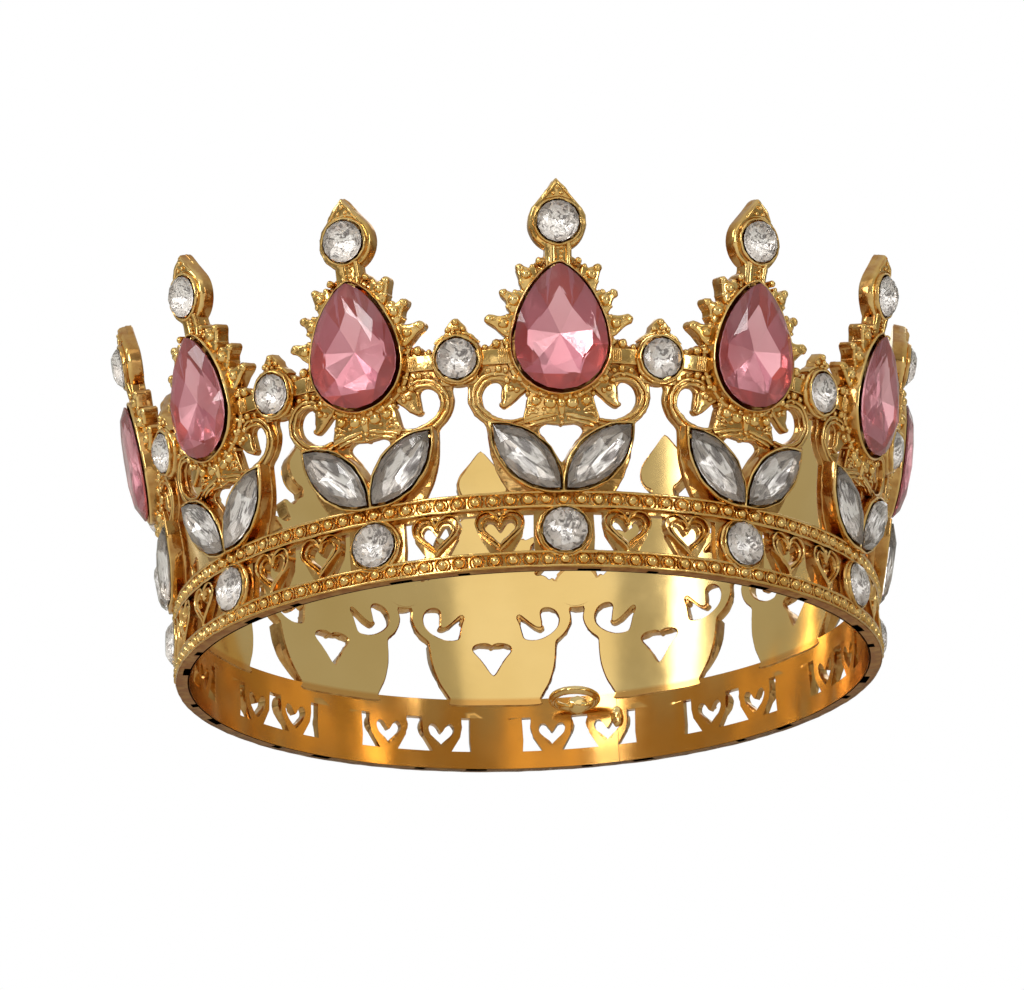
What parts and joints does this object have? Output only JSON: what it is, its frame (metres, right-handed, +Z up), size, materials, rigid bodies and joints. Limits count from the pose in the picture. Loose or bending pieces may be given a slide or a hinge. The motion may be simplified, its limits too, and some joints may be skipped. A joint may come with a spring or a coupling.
{
  "type": "ring crown",
  "caption": "Full-circle gold crown with flared sunburst points, pink pear stones, clear stones, a heart-pierced band and a hairpin loop inside the back.",
  "frame": {"origin": "centre of the crown on the plane that its band stands on", "axes": "+Z up along the crown's own axis, -Y towards the front panel, +X to the right seen from the front"},
  "size_m": [0.1716, 0.1716, 0.078],
  "materials": {
    "gold_plate": "polished gold plating over a zinc alloy casting, bright on the ridges and warm brown in the recesses",
    "pink_glass": "faceted rose-pink glass with a mirrored foil back",
    "clear_glass": "faceted clear glass with a silver foil back",
    "solder": "gold-plated solder, smooth and slightly lumpy"
  },
  "bodies": {
    "root": {"frame_section_1": "gold_plate", "frame_section_2": "gold_plate", "frame_section_3": "gold_plate", "frame_section_4": "gold_plate", "pear_stone_01": "pink_glass", "tip_stone_01": "clear_glass", "leaf_stone_01_left": "clear_glass", "leaf_stone_01_right": "clear_glass", "pear_stone_02": "pink_glass", "tip_stone_02": "clear_glass", "leaf_stone_02_left": "clear_glass", "leaf_stone_02_right": "clear_glass", "pear_stone_03": "pink_glass", "tip_stone_03": "clear_glass", "leaf_stone_03_left": "clear_glass", "leaf_stone_03_right": "clear_glass", "pear_stone_04": "pink_glass", "tip_stone_04": "clear_glass", "leaf_stone_04_left": "clear_glass", "leaf_stone_04_right": "clear_glass", "pear_stone_05": "pink_glass", "tip_stone_05": "clear_glass", "leaf_stone_05_left": "clear_glass", "leaf_stone_05_right": "clear_glass", "pear_stone_06": "pink_glass", "tip_stone_06": "clear_glass", "leaf_stone_06_left": "clear_glass", "leaf_stone_06_right": "clear_glass", "pear_stone_07": "pink_glass", "tip_stone_07": "clear_glass", "leaf_stone_07_left": "clear_glass", "leaf_stone_07_right": "clear_glass", "pear_stone_08": "pink_glass", "tip_stone_08": "clear_glass", "leaf_stone_08_left": "clear_glass", "leaf_stone_08_right": "clear_glass", "pear_stone_09": "pink_glass", "tip_stone_09": "clear_glass", "leaf_stone_09_left": "clear_glass", "leaf_stone_09_right": "clear_glass", "pear_stone_10": "pink_glass", "tip_stone_10": "clear_glass", "leaf_stone_10_left": "clear_glass", "leaf_stone_10_right": "clear_glass", "pear_stone_11": "pink_glass", "tip_stone_11": "clear_glass", "leaf_stone_11_left": "clear_glass", "leaf_stone_11_right": "clear_glass", "pear_stone_12": "pink_glass", "tip_stone_12": "clear_glass", "leaf_stone_12_left": "clear_glass", "leaf_stone_12_right": "clear_glass", "hairpin_loop": "gold_plate", "loop_solder": "solder", "seam_solder": "solder"}
  },
  "joints": []
}
